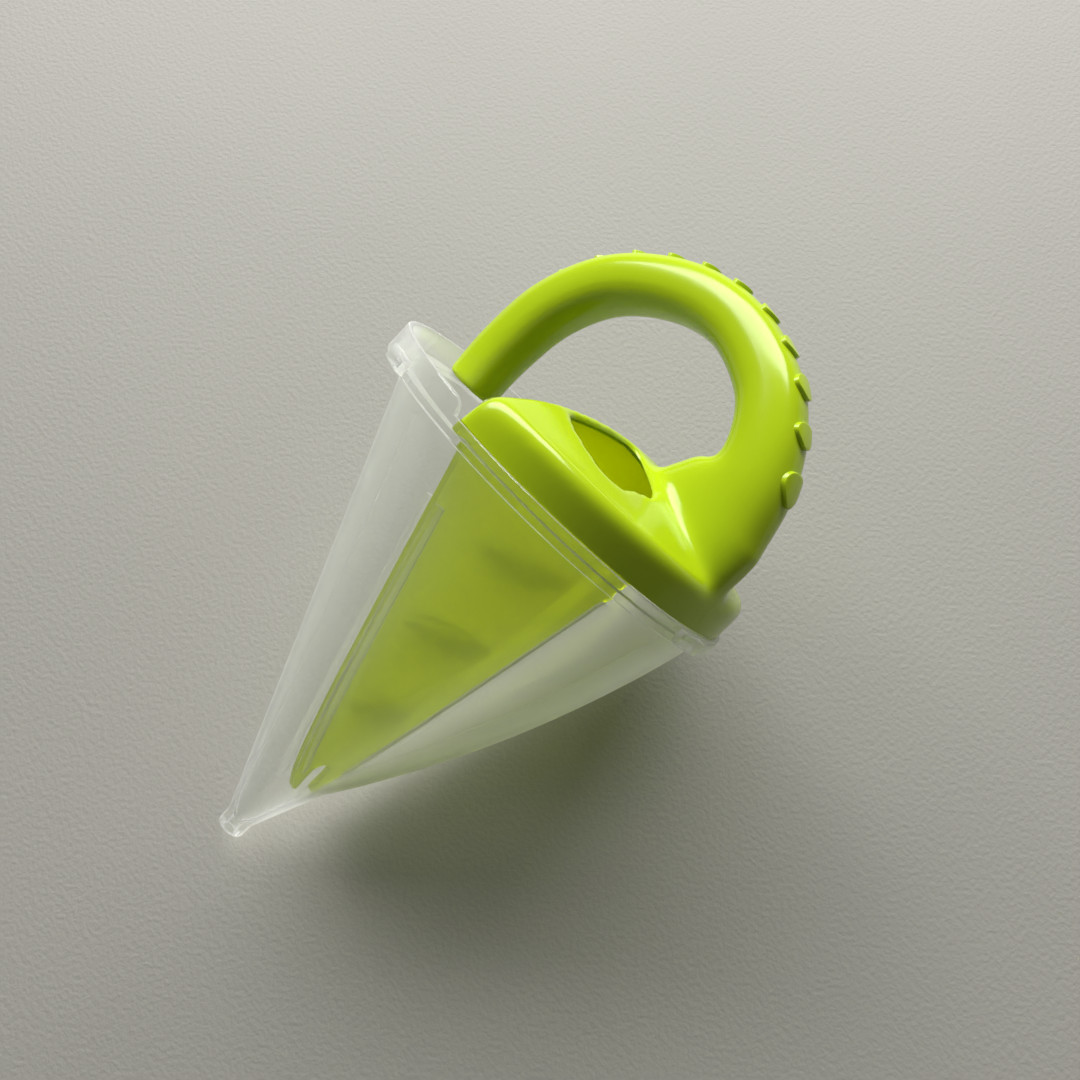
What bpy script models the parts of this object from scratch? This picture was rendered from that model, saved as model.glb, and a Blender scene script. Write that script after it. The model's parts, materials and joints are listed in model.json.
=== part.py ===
"""Sand funnel: a clear funnel and a green insert that lifts out of it.

Sizes are in millimetres and turned into metres by MM. The part is modelled upright, with its
nozzle at the origin and its axis along +Z, and a parent empty lays it down as it rests on a table.
"""
import math

import bmesh
import bpy
from mathutils import Matrix, Vector

MM = 0.001

# Clear funnel
CONE_HEIGHT = 148.0          # nozzle end to the collar's underside
NOZZLE_RADIUS = 4.6
NOZZLE_LENGTH = 5.0
NOZZLE_BORE_RADIUS = 1.8
FUNNEL_WALL = 1.8
COLLAR_RADIUS = 65.0
LEDGE_WIDTH = 6.7            # from the cone's outside to the collar's
COLLAR_WALL = 2.0
LEDGE_THICKNESS = 2.0
RIM_HEIGHT = 5.4             # low rim under the lid, above the collar's underside
LIP_HEIGHT = 9.4             # raised lip round the open side
BELLY_START = 32.0           # height at which the belly leaves the cone
BELLY_CROWN = 5.6
BELLY_AT_COLLAR = 2.5
LUG_ANGLE = 110.0            # the side lugs, from the front lug at +X
LUG_WIDTH = 12.0
LUG_DEPTH = 2.2
LUG_FOOT = 0.5               # above the collar's underside
LUG_HEIGHT = 4.5
RAIL_THICKNESS = 1.6
RAIL_DEPTH = 3.0
RAIL_TOP = 132.0
FRONT_RAIL_FOOT = 36.0
REAR_RAIL_FOOT = 43.0

# Green insert
PLATE_FRONT = 8.0            # sand-side face of the divider, from the axis
PLATE_THICKNESS = 2.3
PLATE_FOOT = 29.5
NOTCH_WIDTH = 4.0
NOTCH_HEIGHT = 11.0
FIN_HEIGHTS = (66.0, 97.5, 129.0)
FIN_LENGTHS = (31.0, 46.0, 54.0)
FIN_DEPTH = 5.0
FIN_THICKNESS = 2.6
SHELL_WALL = 2.4
SKIRT_INSET = 0.8            # the lid's skirt, from the collar's outside
SKIRT_TOP = 12.5             # above the collar's underside, like the heights below
SHOULDER_ROUND = 5.7         # from the skirt in to the edge of the dome
SHOULDER_HEIGHT = 18.0
CROWN_HEIGHT = 29.5
HOLE_CENTRE = (26.0, -24.0)
HOLE_HALF = (12.5, 17.5)
HOLE_REACH = 12.0            # how far the hole's cutter runs above and below the crown
TONGUE_WIDTH = 9.0
TONGUE_THICKNESS = 2.0
TONGUE_PLAY = 0.4            # between a tongue and the sliding clearance of the rim
TONGUE_ANGLE = 66.0
SCALE_COUNT = 11
SCALE_LENGTH = 8.0
SCALE_WIDTH = 16.0
SCALE_RISE = 1.2
SCALE_ROUND = 0.8            # round part of a scale's upper half
SCALE_FROM = 0.225           # share of the arch at the first and the last scale
SCALE_TO = 0.79

# Arch of the handle from its foot to the lid: x, height above the collar, radius
ARCH_REACH = 62.6            # free radius inside the lip for which the arch is drawn
ARCH = (
    (-53.0, 2.6, 8.6),
    (-53.5, 20.0, 9.0),
    (-50.0, 40.0, 9.3),
    (-38.0, 58.0, 9.3),
    (-17.0, 70.0, 9.3),
    (5.0, 73.2, 9.2),
    (26.0, 67.0, 9.4),
    (38.0, 57.0, 10.2),
    (44.0, 45.0, 11.8),
    (46.0, 32.0, 14.0),
    (44.0, 19.0, 16.0),
)

# Fits
GAP = 0.3                    # between pieces that touch
SLIDE_GAP = 0.4              # between pieces that slide past each other
CUT = 1.0                    # how far a cutter runs past a face

# Steps in which round forms are drawn
CONE_SEGMENTS = 72
CONE_ROWS = 20
TURN_SEGMENTS = 72
SHOULDER_STEPS = 6
DOME_STEPS = 12
ARCH_STEPS = 6
ARCH_ROUND_STEPS = 5
SCALE_STEPS = 8
HOLE_SEGMENTS = 40
PLATE_STEPS = 16
FIN_STEPS = 16
NOTCH_STEPS = 12

CONE_TOP_RADIUS = COLLAR_RADIUS - LEDGE_WIDTH
SKIRT_RADIUS = COLLAR_RADIUS - SKIRT_INSET
SHOULDER_RADIUS = SKIRT_RADIUS - SHOULDER_ROUND
PLATE_REAR = PLATE_FRONT + PLATE_THICKNESS
SHELL_FRONT = PLATE_REAR + GAP
LIP_END = PLATE_FRONT - SLIDE_GAP
CREASE = PLATE_REAR + SLIDE_GAP
RIM_INNER = COLLAR_RADIUS - COLLAR_WALL
RIM_FREE = RIM_INNER - SLIDE_GAP
ARCH_LINE = [(x * RIM_FREE / ARCH_REACH, z, radius) for x, z, radius in ARCH]
SKIRT_FOOT = RIM_HEIGHT + GAP
SLOPE = (CONE_TOP_RADIUS - NOZZLE_RADIUS) / (CONE_HEIGHT - NOZZLE_LENGTH)
LUG_REACH = COLLAR_RADIUS + LUG_DEPTH
LIE_ANGLE = math.atan2(LUG_REACH - NOZZLE_RADIUS, CONE_HEIGHT + LUG_FOOT)


def collection(name):
    found = bpy.data.collections.get(name)
    if found is None:
        found = bpy.data.collections.new(name)
        bpy.context.scene.collection.children.link(found)
    return found


def material(name, colour, roughness, alpha=1.0):
    mat = bpy.data.materials.new(name)
    mat.use_nodes = True
    shader = mat.node_tree.nodes["Principled BSDF"]
    shader.inputs["Base Color"].default_value = (*colour, 1.0)
    shader.inputs["Roughness"].default_value = roughness
    shader.inputs["Metallic"].default_value = 0.0
    shader.inputs["Alpha"].default_value = alpha
    mat.diffuse_color = (*colour, alpha)
    return mat


def add_object(name, mesh, group="parts"):
    obj = bpy.data.objects.new(name, mesh)
    collection(group).objects.link(obj)
    return obj


def add_cutter(name, mesh):
    obj = add_object(name, mesh, "cutters")
    obj.hide_render = True
    obj.display_type = "WIRE"
    return obj


def mesh_from(name, build):
    """Runs build on a new bmesh in millimetres and returns it as a mesh in metres."""
    bm = bmesh.new()
    build(bm)
    bmesh.ops.recalc_face_normals(bm, faces=bm.faces)
    bmesh.ops.scale(bm, vec=(MM, MM, MM), verts=bm.verts)
    mesh = bpy.data.meshes.new(name)
    bm.to_mesh(mesh)
    bm.free()
    return mesh


def boolean(obj, other, operation):
    mod = obj.modifiers.new(operation.title() + " " + other.name, "BOOLEAN")
    mod.operation = operation
    mod.solver = "EXACT"
    mod.object = other
    return mod


def box(name, low, high):
    def build(bm):
        size = [b - a for a, b in zip(low, high)]
        centre = [(a + b) / 2 for a, b in zip(low, high)]
        bmesh.ops.create_cube(bm, size=1.0, matrix=Matrix.LocRotScale(centre, None, size))
    return add_cutter(name, mesh_from(name, build))


def turned(name, profile):
    """A mesh turned about the axis from (radius, height) points, listed from the top down.

    A profile that starts and ends on the axis is a solid, and any other is closed into a ring.
    """
    def build(bm):
        verts = [bm.verts.new((r, 0.0, z)) for r, z in profile]
        edges = [bm.edges.new(pair) for pair in zip(verts, verts[1:])]
        if profile[0][0] > 0.0:
            edges.append(bm.edges.new((verts[-1], verts[0])))
        bmesh.ops.spin(
            bm, geom=verts + edges, cent=(0.0, 0.0, 0.0), axis=(0.0, 0.0, 1.0),
            angle=2 * math.pi, steps=TURN_SEGMENTS, use_merge=True,
        )
        bmesh.ops.remove_doubles(bm, verts=bm.verts, dist=0.001)
    return mesh_from(name, build)


def cone_radius(z):
    """Outer radius of the plain cone at a height above the nozzle's end."""
    return NOZZLE_RADIUS + SLOPE * max(z - NOZZLE_LENGTH, 0.0)


def belly(z, angle):
    """How far the wall stands out from the plain cone on the lid's side."""
    if z <= BELLY_START:
        return 0.0
    radius = cone_radius(z)
    reach = (radius * math.cos(angle) - CREASE) / (radius - CREASE)
    if reach <= 0.0:
        return 0.0
    rise = (z - BELLY_START) / (CONE_HEIGHT - BELLY_START)
    height = BELLY_AT_COLLAR * rise + BELLY_CROWN * max(math.sin(math.pi * min(rise, 1.0)), 0.0) ** 0.8
    return height * math.sin(0.5 * math.pi * min(reach, 1.0))


def wall_outer(z, angle):
    return cone_radius(z) + belly(min(z, CONE_HEIGHT), angle)


def wall_inner(z, angle):
    if z <= NOZZLE_LENGTH:
        return NOZZLE_BORE_RADIUS
    return wall_outer(z, angle) - FUNNEL_WALL / math.cos(math.atan(SLOPE))


def lofted(name, heights, outer, inner):
    """A closed tube between two radius functions of height and angle."""
    angles = [2 * math.pi * (i + 0.5) / CONE_SEGMENTS for i in range(CONE_SEGMENTS)]

    def build(bm):
        def rings(radius):
            return [
                [bm.verts.new((radius(z, a) * math.cos(a), radius(z, a) * math.sin(a), z)) for a in angles]
                for z in heights
            ]

        def bridge(low, high):
            for i in range(CONE_SEGMENTS):
                j = (i + 1) % CONE_SEGMENTS
                bm.faces.new((low[i], low[j], high[j], high[i]))

        outside = rings(outer)
        inside = rings(inner)
        for side in (outside, inside):
            for low, high in zip(side, side[1:]):
                bridge(low, high)
        bridge(outside[0], inside[0])
        bridge(outside[-1], inside[-1])
        bmesh.ops.triangulate(bm, faces=bm.faces)
    return mesh_from(name, build)


def even(start, stop, count):
    return [start + (stop - start) * i / count for i in range(count + 1)]


def prism(name, outline, thickness, frame):
    """An outline of (u, v) points pushed out by a thickness along w, placed by a matrix."""
    def build(bm):
        base = bm.faces.new([bm.verts.new((u, v, 0.0)) for u, v in outline])
        pushed = bmesh.ops.extrude_face_region(bm, geom=[base])
        moved = [v for v in pushed["geom"] if isinstance(v, bmesh.types.BMVert)]
        bmesh.ops.translate(bm, vec=(0.0, 0.0, thickness), verts=moved)
        bmesh.ops.transform(bm, matrix=frame, verts=bm.verts)
    return mesh_from(name, build)


def make_funnel(plastic):
    top = CONE_HEIGHT
    heights = [0.0] + even(NOZZLE_LENGTH, top + LEDGE_THICKNESS / 2, CONE_ROWS)
    funnel = add_object("funnel", lofted("funnel", heights, wall_outer, wall_inner))
    funnel.data.materials.append(plastic)

    ledge_edge = CONE_TOP_RADIUS - FUNNEL_WALL / 2
    collar = add_cutter("collar_ring", turned("collar_ring", [
        (RIM_INNER, top + LIP_HEIGHT),
        (COLLAR_RADIUS, top + LIP_HEIGHT),
        (COLLAR_RADIUS, top),
        (ledge_edge, top),
        (ledge_edge, top + LEDGE_THICKNESS),
        (RIM_INNER, top + LEDGE_THICKNESS),
    ]))
    reach = COLLAR_RADIUS + 2 * CUT
    lid_side = box("lid_side", (LIP_END, -reach, top + RIM_HEIGHT), (reach, reach, top + LIP_HEIGHT + CUT))
    boolean(collar, lid_side, "DIFFERENCE")
    boolean(funnel, collar, "UNION")

    for name, angle in (("front_lug", 0.0), ("left_lug", -LUG_ANGLE), ("right_lug", LUG_ANGLE)):
        lug = box(
            name, (RIM_INNER + COLLAR_WALL / 2, -LUG_WIDTH / 2, top + LUG_FOOT),
            (LUG_REACH, LUG_WIDTH / 2, top + LUG_FOOT + LUG_HEIGHT),
        )
        lug.rotation_euler.z = math.radians(angle)
        boolean(funnel, lug, "UNION")

    rails = (
        ("front_rails", PLATE_FRONT - SLIDE_GAP - RAIL_THICKNESS, FRONT_RAIL_FOOT),
        ("rear_rails", PLATE_REAR + SLIDE_GAP, REAR_RAIL_FOOT),
    )
    for name, start, foot in rails:
        band = add_cutter(name, lofted(
            name, even(foot, RAIL_TOP, CONE_ROWS),
            lambda z, a: wall_inner(z, a) + FUNNEL_WALL / 2,
            lambda z, a: wall_inner(z, a) - RAIL_DEPTH,
        ))
        reach = CONE_TOP_RADIUS
        slab = box(name + "_slab", (start, -reach, 0.0), (start + RAIL_THICKNESS, reach, RAIL_TOP + CUT))
        boolean(band, slab, "INTERSECT")
        boolean(funnel, band, "UNION")
    return funnel


def lid_profile(offset=0.0):
    """The lid's outer (radius, height) line from skirt foot to crown, moved inwards by an offset."""
    points = [(SKIRT_RADIUS - offset, SKIRT_FOOT), (SKIRT_RADIUS - offset, SKIRT_TOP - offset / 2)]
    corner_r = SHOULDER_ROUND
    corner_h = SHOULDER_HEIGHT - SKIRT_TOP
    for turn in even(0.0, 0.5 * math.pi, SHOULDER_STEPS)[1:-1]:
        points.append((
            SHOULDER_RADIUS - offset + corner_r * math.cos(turn),
            SKIRT_TOP - offset / 2 + (corner_h - offset / 2) * math.sin(turn),
        ))
    rise = CROWN_HEIGHT - SHOULDER_HEIGHT
    sphere = (SHOULDER_RADIUS ** 2 + rise ** 2) / (2 * rise)
    for radius in even(SHOULDER_RADIUS, 0.0, DOME_STEPS):
        height = CROWN_HEIGHT - sphere + math.sqrt(sphere ** 2 - radius ** 2)
        points.append((max(radius - offset, 0.0), height - offset))
    return points


def arch_curve(name, inset=0.0, foot_inset=0.0):
    """The handle's arch as a tapering tube, converted to a mesh."""
    data = bpy.data.curves.new(name, "CURVE")
    data.dimensions = "3D"
    data.resolution_u = ARCH_STEPS
    data.bevel_depth = MM
    data.bevel_resolution = ARCH_ROUND_STEPS
    data.use_fill_caps = True
    spline = data.splines.new("BEZIER")
    spline.bezier_points.add(len(ARCH_LINE) - 1)
    for i, (point, (x, z, radius)) in enumerate(zip(spline.bezier_points, ARCH_LINE)):
        lift = foot_inset if i == 0 else 0.0
        point.co = (x * MM, 0.0, (CONE_HEIGHT + z + lift) * MM)
        point.radius = radius - inset
        point.handle_left_type = "AUTO"
        point.handle_right_type = "AUTO"
    source = bpy.data.objects.new(name + "_curve", data)
    collection("cutters").objects.link(source)
    mesh = bpy.data.meshes.new_from_object(source.evaluated_get(bpy.context.evaluated_depsgraph_get()))
    mesh.name = name
    bpy.data.objects.remove(source)
    bm = bmesh.new()
    bm.from_mesh(mesh)
    bmesh.ops.remove_doubles(bm, verts=bm.verts, dist=0.00001)
    bmesh.ops.recalc_face_normals(bm, faces=bm.faces)
    bm.to_mesh(mesh)
    bm.free()
    return mesh


def arch_frame(share):
    """Point, tangent and radius on the arch at a share of its control points, in millimetres."""
    last = len(ARCH_LINE) - 1
    place = share * last
    i = min(int(place), last - 1)
    t = place - i
    before = ARCH_LINE[max(i - 1, 0)]
    start, stop = ARCH_LINE[i], ARCH_LINE[i + 1]
    after = ARCH_LINE[min(i + 2, last)]

    def spline(k):
        a, b, c, d = before[k], start[k], stop[k], after[k]
        bend = (2 * a - 5 * b + 4 * c - d) * t ** 2 + (3 * b - a - 3 * c + d) * t ** 3
        return 0.5 * (2 * b + (c - a) * t + bend)

    def slope(k):
        a, b, c, d = before[k], start[k], stop[k], after[k]
        return 0.5 * ((c - a) + 2 * (2 * a - 5 * b + 4 * c - d) * t + 3 * (3 * b - a - 3 * c + d) * t ** 2)

    centre = Vector((spline(0), 0.0, CONE_HEIGHT + spline(1)))
    tangent = Vector((slope(0), 0.0, slope(1))).normalized()
    return centre, tangent, spline(2)


def make_scales():
    """Shield-shaped pads on the spine, each with its point towards the lid."""
    half_l = SCALE_LENGTH / 2
    half_w = SCALE_WIDTH / 2
    outline = [(half_l, 0.0)]
    for turn in even(0.0, math.pi, SCALE_STEPS):
        round_end = SCALE_ROUND * math.sin(turn) + 1.0 - SCALE_ROUND
        outline.append((-half_l * round_end, half_w * math.cos(turn)))
    blocks = add_cutter("scale_blocks", bpy.data.meshes.new("scale_blocks"))
    bm = bmesh.new()
    for i in range(SCALE_COUNT):
        share = SCALE_FROM + (SCALE_TO - SCALE_FROM) * i / (SCALE_COUNT - 1)
        centre, tangent, radius = arch_frame(share)
        side = Vector((0.0, 1.0, 0.0))
        out = tangent.cross(side)
        if out.dot(centre - Vector((0.0, 0.0, CONE_HEIGHT + SHOULDER_HEIGHT))) < 0.0:
            out = -out
        frame = Matrix((
            (tangent.x, side.x, out.x, centre.x),
            (tangent.y, side.y, out.y, centre.y),
            (tangent.z, side.z, out.z, centre.z),
            (0.0, 0.0, 0.0, 1.0),
        ))
        pad = prism("pad", outline, radius + SCALE_RISE + CUT, frame)
        bm.from_mesh(pad)
        bpy.data.meshes.remove(pad)
    bm.to_mesh(blocks.data)
    bm.free()
    scales = add_cutter("scales", arch_curve("scales", inset=-SCALE_RISE))
    boolean(scales, blocks, "INTERSECT")
    return scales


def make_shell(name, side, plastic, scales):
    """One half of the lid and handle: side is -1 for the near half and 1 for the far half."""
    top = CONE_HEIGHT
    outer = [(r, top + z) for r, z in reversed(lid_profile())] + [(0.0, top + SKIRT_FOOT)]
    shell = add_object(name, turned(name, outer))
    shell.data.materials.append(plastic)
    reach = COLLAR_RADIUS + 2 * CUT
    tall = 2 * top
    open_side = box(name + "_open_side", (-reach, -reach, top), (SHELL_FRONT, reach, tall))
    boolean(shell, open_side, "DIFFERENCE")

    arch = add_cutter(name + "_arch", arch_curve(name + "_arch"))
    lip_bore = add_cutter(name + "_lip_bore", turned(name + "_lip_bore", [
        (0.0, tall), (RIM_FREE, tall), (RIM_FREE, top), (0.0, top),
    ]))
    boolean(arch, lip_bore, "INTERSECT")
    boolean(shell, arch, "UNION")
    boolean(shell, scales, "UNION")

    hollow = [(r, top + z) for r, z in reversed(lid_profile(SHELL_WALL))]
    hollow[-1] = (hollow[-1][0], top + SKIRT_FOOT - CUT)
    hollow.append((0.0, top + SKIRT_FOOT - CUT))
    cavity = add_cutter(name + "_cavity", turned(name + "_cavity", hollow))
    sand_side = box(name + "_sand_side", (-reach, -reach, top), (SHELL_FRONT - CUT, reach, tall))
    boolean(cavity, sand_side, "DIFFERENCE")
    boolean(shell, cavity, "DIFFERENCE")
    core = add_cutter(name + "_core", arch_curve(name + "_core", SHELL_WALL, SHELL_WALL))
    boolean(shell, core, "DIFFERENCE")

    outside = RIM_FREE - TONGUE_PLAY
    foot = LEDGE_THICKNESS + GAP
    root = SKIRT_RADIUS - SHELL_WALL / 2
    middle = (SKIRT_FOOT + SKIRT_TOP) / 2
    blades = (
        ("blade", outside - TONGUE_THICKNESS, outside, TONGUE_WIDTH / 2, foot, SKIRT_TOP),
        ("root", outside - TONGUE_THICKNESS / 2, root, TONGUE_WIDTH / 3, middle, SKIRT_TOP - CUT),
    )
    for place, angle in (("front", 0.0), ("side", side * TONGUE_ANGLE)):
        for label, near, far, width, low, high in blades:
            tongue = box(
                "_".join((name, place, label)), (near, -width, top + low), (far, width, top + high),
            )
            tongue.rotation_euler.z = math.radians(angle)
            boolean(shell, tongue, "UNION")

    if side * HOLE_CENTRE[1] > 0.0:
        def build(bm):
            place = Matrix.LocRotScale((*HOLE_CENTRE, top + CROWN_HEIGHT), None, (*HOLE_HALF, 2 * HOLE_REACH))
            bmesh.ops.create_cone(
                bm, cap_ends=True, segments=HOLE_SEGMENTS, radius1=1.0, radius2=1.0, depth=1.0, matrix=place,
            )
        hole = add_cutter(name + "_hole", mesh_from(name + "_hole", build))
        boolean(shell, hole, "DIFFERENCE")

    low, high = sorted((side * GAP / 2, -side * reach))
    half = box(name + "_half", (-reach, low, top), (reach, high, tall))
    boolean(shell, half, "DIFFERENCE")
    return shell


def plate_outline():
    """Half of the divider's outline, foot to crown, as (y, z) points."""
    def width(radius):
        return math.sqrt(max(radius ** 2 - PLATE_REAR ** 2, 0.0))

    points = []
    for z in even(PLATE_FOOT, CONE_HEIGHT, PLATE_STEPS):
        points.append((width(wall_inner(z, 0.5 * math.pi) - SLIDE_GAP), z))
    shoulder = CONE_HEIGHT + LEDGE_THICKNESS + GAP
    points.append((points[-1][0], shoulder))
    points.append((width(RIM_FREE), shoulder))
    points.append((width(RIM_FREE), CONE_HEIGHT + SKIRT_FOOT))
    for radius, z in lid_profile():
        if radius > PLATE_REAR:
            points.append((width(radius), CONE_HEIGHT + z))
    return points


def make_divider(plastic):
    half = plate_outline()
    outline = [(-y, z) for y, z in half] + [(y, z) for y, z in reversed(half)]
    across = Matrix((
        (0.0, 0.0, 1.0, PLATE_FRONT),
        (1.0, 0.0, 0.0, 0.0),
        (0.0, 1.0, 0.0, 0.0),
        (0.0, 0.0, 0.0, 1.0),
    ))
    divider = add_object("divider", prism("divider", outline, PLATE_THICKNESS, across))
    divider.data.materials.append(plastic)

    sunk = PLATE_FRONT + PLATE_THICKNESS / 2
    for i, (height, length) in enumerate(zip(FIN_HEIGHTS, FIN_LENGTHS)):
        lens = []
        for y in even(-length / 2, length / 2, FIN_STEPS):
            lens.append((PLATE_FRONT - FIN_DEPTH * math.cos(math.pi * y / length), y))
        lens += [(sunk, length / 2), (sunk, -length / 2)]
        place = Matrix.Translation((0.0, 0.0, height - FIN_THICKNESS / 2))
        fin = add_cutter("fin_%d" % (i + 1), prism("fin_%d" % (i + 1), lens, FIN_THICKNESS, place))
        boolean(divider, fin, "UNION")

    slot = []
    half_notch = NOTCH_WIDTH / 2
    round_height = PLATE_FOOT + NOTCH_HEIGHT - half_notch
    for turn in even(0.0, math.pi, NOTCH_STEPS):
        slot.append((half_notch * math.cos(turn), round_height + half_notch * math.sin(turn)))
    slot += [(-half_notch, PLATE_FOOT - CUT), (half_notch, PLATE_FOOT - CUT)]
    through = across.copy()
    through.translation.x = PLATE_FRONT - CUT
    notch = add_cutter("notch", prism("notch", slot, PLATE_THICKNESS + 2 * CUT, through))
    boolean(divider, notch, "DIFFERENCE")
    return divider


def lay_down(root, pieces):
    """Turns the part onto its nozzle and right lug and centres it over the origin."""
    root.rotation_mode = "ZYX"
    root.rotation_euler = (LIE_ANGLE - 0.5 * math.pi, 0.0, 0.5 * math.pi - math.radians(LUG_ANGLE))
    bpy.context.view_layer.update()
    graph = bpy.context.evaluated_depsgraph_get()
    corners = []
    for piece in pieces:
        solid = piece.evaluated_get(graph)
        corners += [solid.matrix_world @ v.co for v in solid.data.vertices]
    low = [min(c[k] for c in corners) for k in range(3)]
    high = [max(c[k] for c in corners) for k in range(3)]
    root.location = (-(low[0] + high[0]) / 2, -(low[1] + high[1]) / 2, -low[2])
    bpy.context.view_layer.update()


def main():
    for obj in list(bpy.data.objects):
        bpy.data.objects.remove(obj)
    clear = material("clear_plastic", (0.86, 0.90, 0.90), 0.08, 0.3)
    green = material("green_plastic", (0.38, 0.58, 0.01), 0.25)
    tinted = material("green_plate_plastic", (0.30, 0.48, 0.01), 0.3)

    root = bpy.data.objects.new("sand_funnel", None)
    insert = bpy.data.objects.new("insert", None)
    for empty in (root, insert):
        collection("parts").objects.link(empty)
    insert.parent = root

    scales = make_scales()
    funnel = make_funnel(clear)
    green_pieces = [
        make_divider(tinted),
        make_shell("left_shell", -1, green, scales),
        make_shell("right_shell", 1, green, scales),
    ]
    for obj in [funnel] + list(collection("cutters").objects):
        obj.parent = root
    for piece in green_pieces:
        piece.parent = insert
    lay_down(root, [funnel] + green_pieces)


main()
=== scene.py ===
"""Sand funnel: the looks of a clear funnel and its green lift-out insert, laid out as an add-on.

Pieces are modelled upright, in metres, with the nozzle's end at the origin, the funnel's axis along +Z
and the lid on the +X side. They are then laid down as the frame lies.
"""
import json
import math

import bmesh
import bpy
from bpy.props import FloatProperty, FloatVectorProperty, IntProperty, PointerProperty
from bpy.types import Operator, Panel, PropertyGroup
from mathutils import Matrix, Vector
from mathutils.bvhtree import BVHTree
from mathutils.kdtree import KDTree


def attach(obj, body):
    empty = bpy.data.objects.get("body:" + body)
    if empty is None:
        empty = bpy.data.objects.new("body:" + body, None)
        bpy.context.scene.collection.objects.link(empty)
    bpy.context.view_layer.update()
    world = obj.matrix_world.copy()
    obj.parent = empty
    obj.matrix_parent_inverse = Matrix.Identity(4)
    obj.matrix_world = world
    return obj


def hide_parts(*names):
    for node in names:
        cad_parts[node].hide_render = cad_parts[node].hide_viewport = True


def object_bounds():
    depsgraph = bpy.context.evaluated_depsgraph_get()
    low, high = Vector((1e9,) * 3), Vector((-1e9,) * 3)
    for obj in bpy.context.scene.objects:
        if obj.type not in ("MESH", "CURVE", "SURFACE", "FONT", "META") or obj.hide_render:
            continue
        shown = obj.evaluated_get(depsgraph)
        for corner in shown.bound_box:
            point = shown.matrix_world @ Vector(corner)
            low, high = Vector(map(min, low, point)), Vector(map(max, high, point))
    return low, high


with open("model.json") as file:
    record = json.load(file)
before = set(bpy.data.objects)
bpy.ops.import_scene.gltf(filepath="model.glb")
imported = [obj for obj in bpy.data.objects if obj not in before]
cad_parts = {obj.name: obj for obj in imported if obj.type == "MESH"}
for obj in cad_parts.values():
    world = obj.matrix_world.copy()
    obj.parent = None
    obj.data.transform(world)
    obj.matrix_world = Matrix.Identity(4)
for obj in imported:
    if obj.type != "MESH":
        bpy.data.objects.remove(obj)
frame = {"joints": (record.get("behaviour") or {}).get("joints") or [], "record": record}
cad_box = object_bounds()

bl_info = {
    "name": "Sand funnel",
    "version": (1, 0, 0),
    "blender": (4, 5, 0),
    "location": "View3D > Sidebar > Sand funnel",
    "description": "Builds a clear sand funnel with a green handle, half lid and divider",
    "category": "Add Mesh",
}

MM = 0.001

# Arch of the handle from its foot into the lid, in millimetres:
# x, height above the collar's underside, radius in the arch's plane, half width
ARCH = (
    (-53.0, 2.6, 8.6, 8.4),
    (-53.5, 20.0, 9.0, 8.8),
    (-50.0, 40.0, 9.2, 9.1),
    (-38.0, 58.0, 9.1, 9.1),
    (-17.0, 70.0, 9.0, 9.1),
    (5.0, 73.1, 8.9, 9.0),
    (26.0, 67.0, 9.4, 9.2),
    (38.0, 57.0, 10.2, 9.6),
    (44.5, 45.0, 12.4, 9.8),
    (44.0, 33.0, 18.8, 9.6),
    (41.4, 20.0, 22.2, 9.4),
    (40.4, 8.0, 23.2, 9.2),
)
ARCH_RINGS = 132
ARCH_SIDES = 48
ARCH_WALK = 600         # steps in which the arch's length is measured
ARCH_SQUARE = 0.5       # how far a section as wide as high goes from a circle towards a square

# Edge of the lid's hole as (x, y) points in millimetres, from the divider round by the handle
HOLE = (
    (12.3, -34.0), (12.3, -24.0), (12.3, -14.0), (13.0, -7.2), (17.2, -5.8), (22.3, -8.2),
    (28.3, -10.8), (34.0, -14.2), (37.2, -19.5), (37.5, -24.5), (37.1, -28.0), (37.8, -32.5),
    (36.2, -36.2), (32.6, -38.6), (26.0, -39.7), (19.5, -39.2), (14.2, -37.2),
)
HOLE_STEPS = 8          # points from one control point to the next

# Cutter of the hole, in millimetres: its foot above the collar's underside, and its height
PIT_FLOOR = 8.0
PIT_HEIGHT = 34.0

# Spans of the divider's fins from the lowest up, and small roundings, in millimetres
FIN_SPANS = (31.0, 46.0, 54.0)
RAIL_EDGE = 0.25
LUG_EDGE = 0.35
PLATE_EDGE = 0.4
SCALE_EDGE = 0.3

# Scales: share of the full size at the far end, depth sunk into the handle in millimetres, pointed end
SMALLEST_SCALE = 0.6
SCALE_SINK = 2.2
SCALE_TAPER = 0.55
SCALE_POINT = 0.25
SCALE_GRID = 12
SCALE_RIM_ANGLE = 0.8   # radians

# Belly: how full its curve is, and the largest cosine of its crease's angle low on the cone
BELLY_FULLNESS = 0.8
CREASE_LIMIT = 0.99

# Inset of a rounding's middle point, as a share of the rounding
ROUND_MIDDLE = 0.3

# Steps of curved outlines
LIP_STEPS = 4
WALL_STEPS = 24
RAIL_FOOT_STEPS = 9
LID_STEPS = 160
SHOULDER_STEPS = 12
DOME_STEPS = 24
NOTCH_STEPS = 16
FIN_STEPS = 32

# Smoothing of the lid and handle: turns, or shares of a reach with the turns for what lies within
FILLET_TURNS = ((1.0, 24), (1.6, 8))
CORNER_TURNS = 24
ROUND_TURNS = ((0.5, 40), (0.8, 24), (1.1, 14), (1.5, 8))
HOLE_TURNS = 8
SKIN_TURNS = 6

# Plastics and paint: tone of the darker clouds, range of a noise that counts, tint of light let through
CLOUD_TONE = 0.93
PAINT_CLOUD_TONE = 0.92
CLOUD_RANGE = (0.3, 0.7)
CLEAR_TINT = (0.9, 0.9, 0.89)
GREEN_TINT = 0.4

# Painted shade on the fins: how dark the fins are painted against the plate, and the depth in millimetres
# over which it sets in
FIN_PAINTED_SHADE = 0.12
FIN_SHADE_FADE = 0.6

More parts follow.
